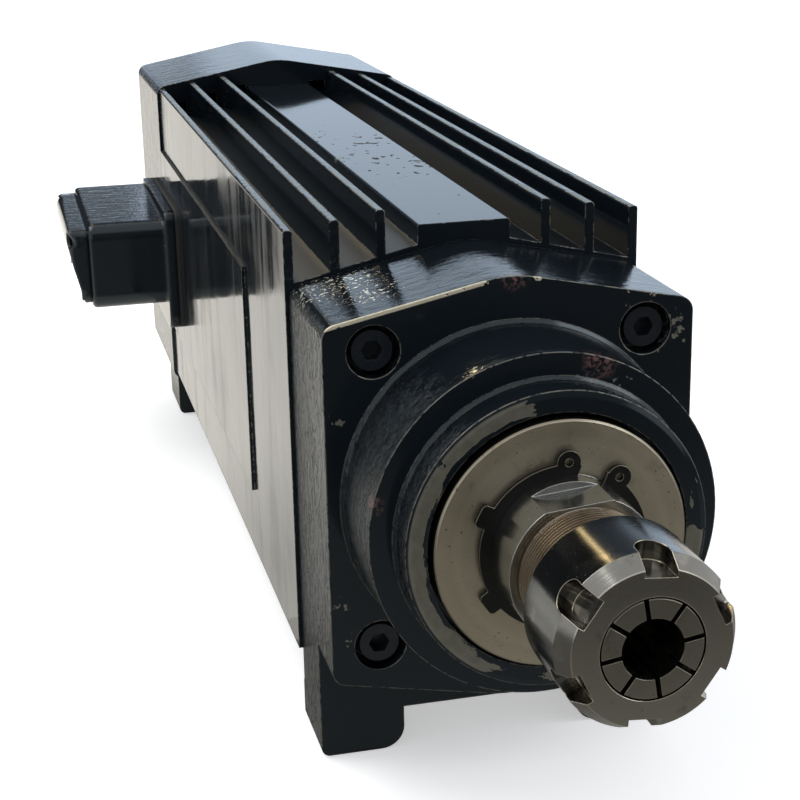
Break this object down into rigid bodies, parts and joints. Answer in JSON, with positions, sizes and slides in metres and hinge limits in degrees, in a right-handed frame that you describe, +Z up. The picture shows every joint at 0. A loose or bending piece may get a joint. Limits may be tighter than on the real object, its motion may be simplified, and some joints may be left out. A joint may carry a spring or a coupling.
{
  "type": "motor spindle",
  "caption": "Electric motor spindle with finned housing, cast shields with feet, stepped boss and a slotted collet nut.",
  "frame": {"origin": "middle of the rectangle of foot holes, on the plane of the soles", "axes": "+Z up, +Y along the shaft from the collet nose to the fan, +X to the right seen from the nose"},
  "size_m": [0.1787, 0.6215, 0.1883],
  "materials": {
    "painted_aluminium": "gloss paint",
    "painted_casting": "gloss paint",
    "black_steel": "black oxide",
    "bearing_steel": "ground",
    "machined_steel": "turned",
    "laminated_steel": "stacked sheets",
    "enamelled_copper": "enamelled",
    "black_rubber": "matte",
    "moulded_plastic": "matte",
    "brass": "satin",
    "black_plastic": "satin",
    "ground_steel": "ground and hardened",
    "turned_steel": "fine turned rings",
    "phosphated_steel": "phosphated",
    "cast_aluminium": "cast",
    "blackened_steel": "hardened, worn"
  },
  "bodies": {
    "frame": {"housing": "painted_aluminium", "front_shield": "painted_casting", "rear_shield": "painted_casting", "front_shield_screws": "black_steel", "rear_shield_screws": "black_steel", "front_bearing_outer_rings": "bearing_steel", "front_bearing_cover": "machined_steel", "bearing_cover_screws": "black_steel", "rear_bearing_outer_ring": "bearing_steel", "wave_spring": "bearing_steel", "stator_core": "laminated_steel", "stator_windings": "enamelled_copper", "fan_guard": "painted_casting", "guard_screws": "black_steel", "box_gasket": "black_rubber", "terminal_box": "painted_casting", "box_screws": "black_steel", "terminal_box_lid": "painted_casting", "lid_screws": "black_steel", "terminal_block": "moulded_plastic", "terminal_studs": "brass", "gland_body": "black_plastic", "gland_nut": "black_plastic"},
    "spindle": {"spindle_shaft": "ground_steel", "labyrinth_disc": "turned_steel", "retaining_ring": "phosphated_steel", "front_bearing_inner_rings": "bearing_steel", "rear_bearing_inner_ring": "bearing_steel", "rotor_core": "laminated_steel", "rotor_end_rings": "cast_aluminium", "cooling_fan": "black_plastic", "fan_retaining_ring": "phosphated_steel"},
    "front_cages": {"front_bearing_cages": "bearing_steel"},
    "rear_cage": {"rear_bearing_cage": "bearing_steel"},
    "collet": {"collet": "ground_steel"},
    "nut": {"collet_nut": "blackened_steel"}
  },
  "joints": [
    {"name": "spindle_spin", "type": "hinge", "parent": "frame", "child": "spindle", "pos_m": [0, -0.235, 0.1], "axis": [0, -1, 0], "continuous": true},
    {"name": "front_cages_orbit", "type": "hinge", "parent": "frame", "child": "front_cages", "pos_m": [0, -0.251, 0.1], "axis": [0, -1, 0], "continuous": true},
    {"name": "rear_cage_orbit", "type": "hinge", "parent": "frame", "child": "rear_cage", "pos_m": [0, 0.182, 0.1], "axis": [0, -1, 0], "continuous": true},
    {"name": "collet_travel", "type": "slide", "parent": "spindle", "child": "collet", "axis": [0, -1, 0], "range_m": [0, 0.006]},
    {"name": "nut_turn", "type": "hinge", "parent": "collet", "child": "nut", "pos_m": [0, -0.345, 0.1], "axis": [0, -1, 0], "range_deg": [0, 1440]}
  ],
  "couplings": [
    {"joint": "front_cages_orbit", "follows": "spindle_spin", "ratio": 0.421},
    {"joint": "rear_cage_orbit", "follows": "spindle_spin", "ratio": 0.397},
    {"joint": "collet_travel", "follows": "nut_turn", "m_per_rad": 0.00023873}
  ]
}
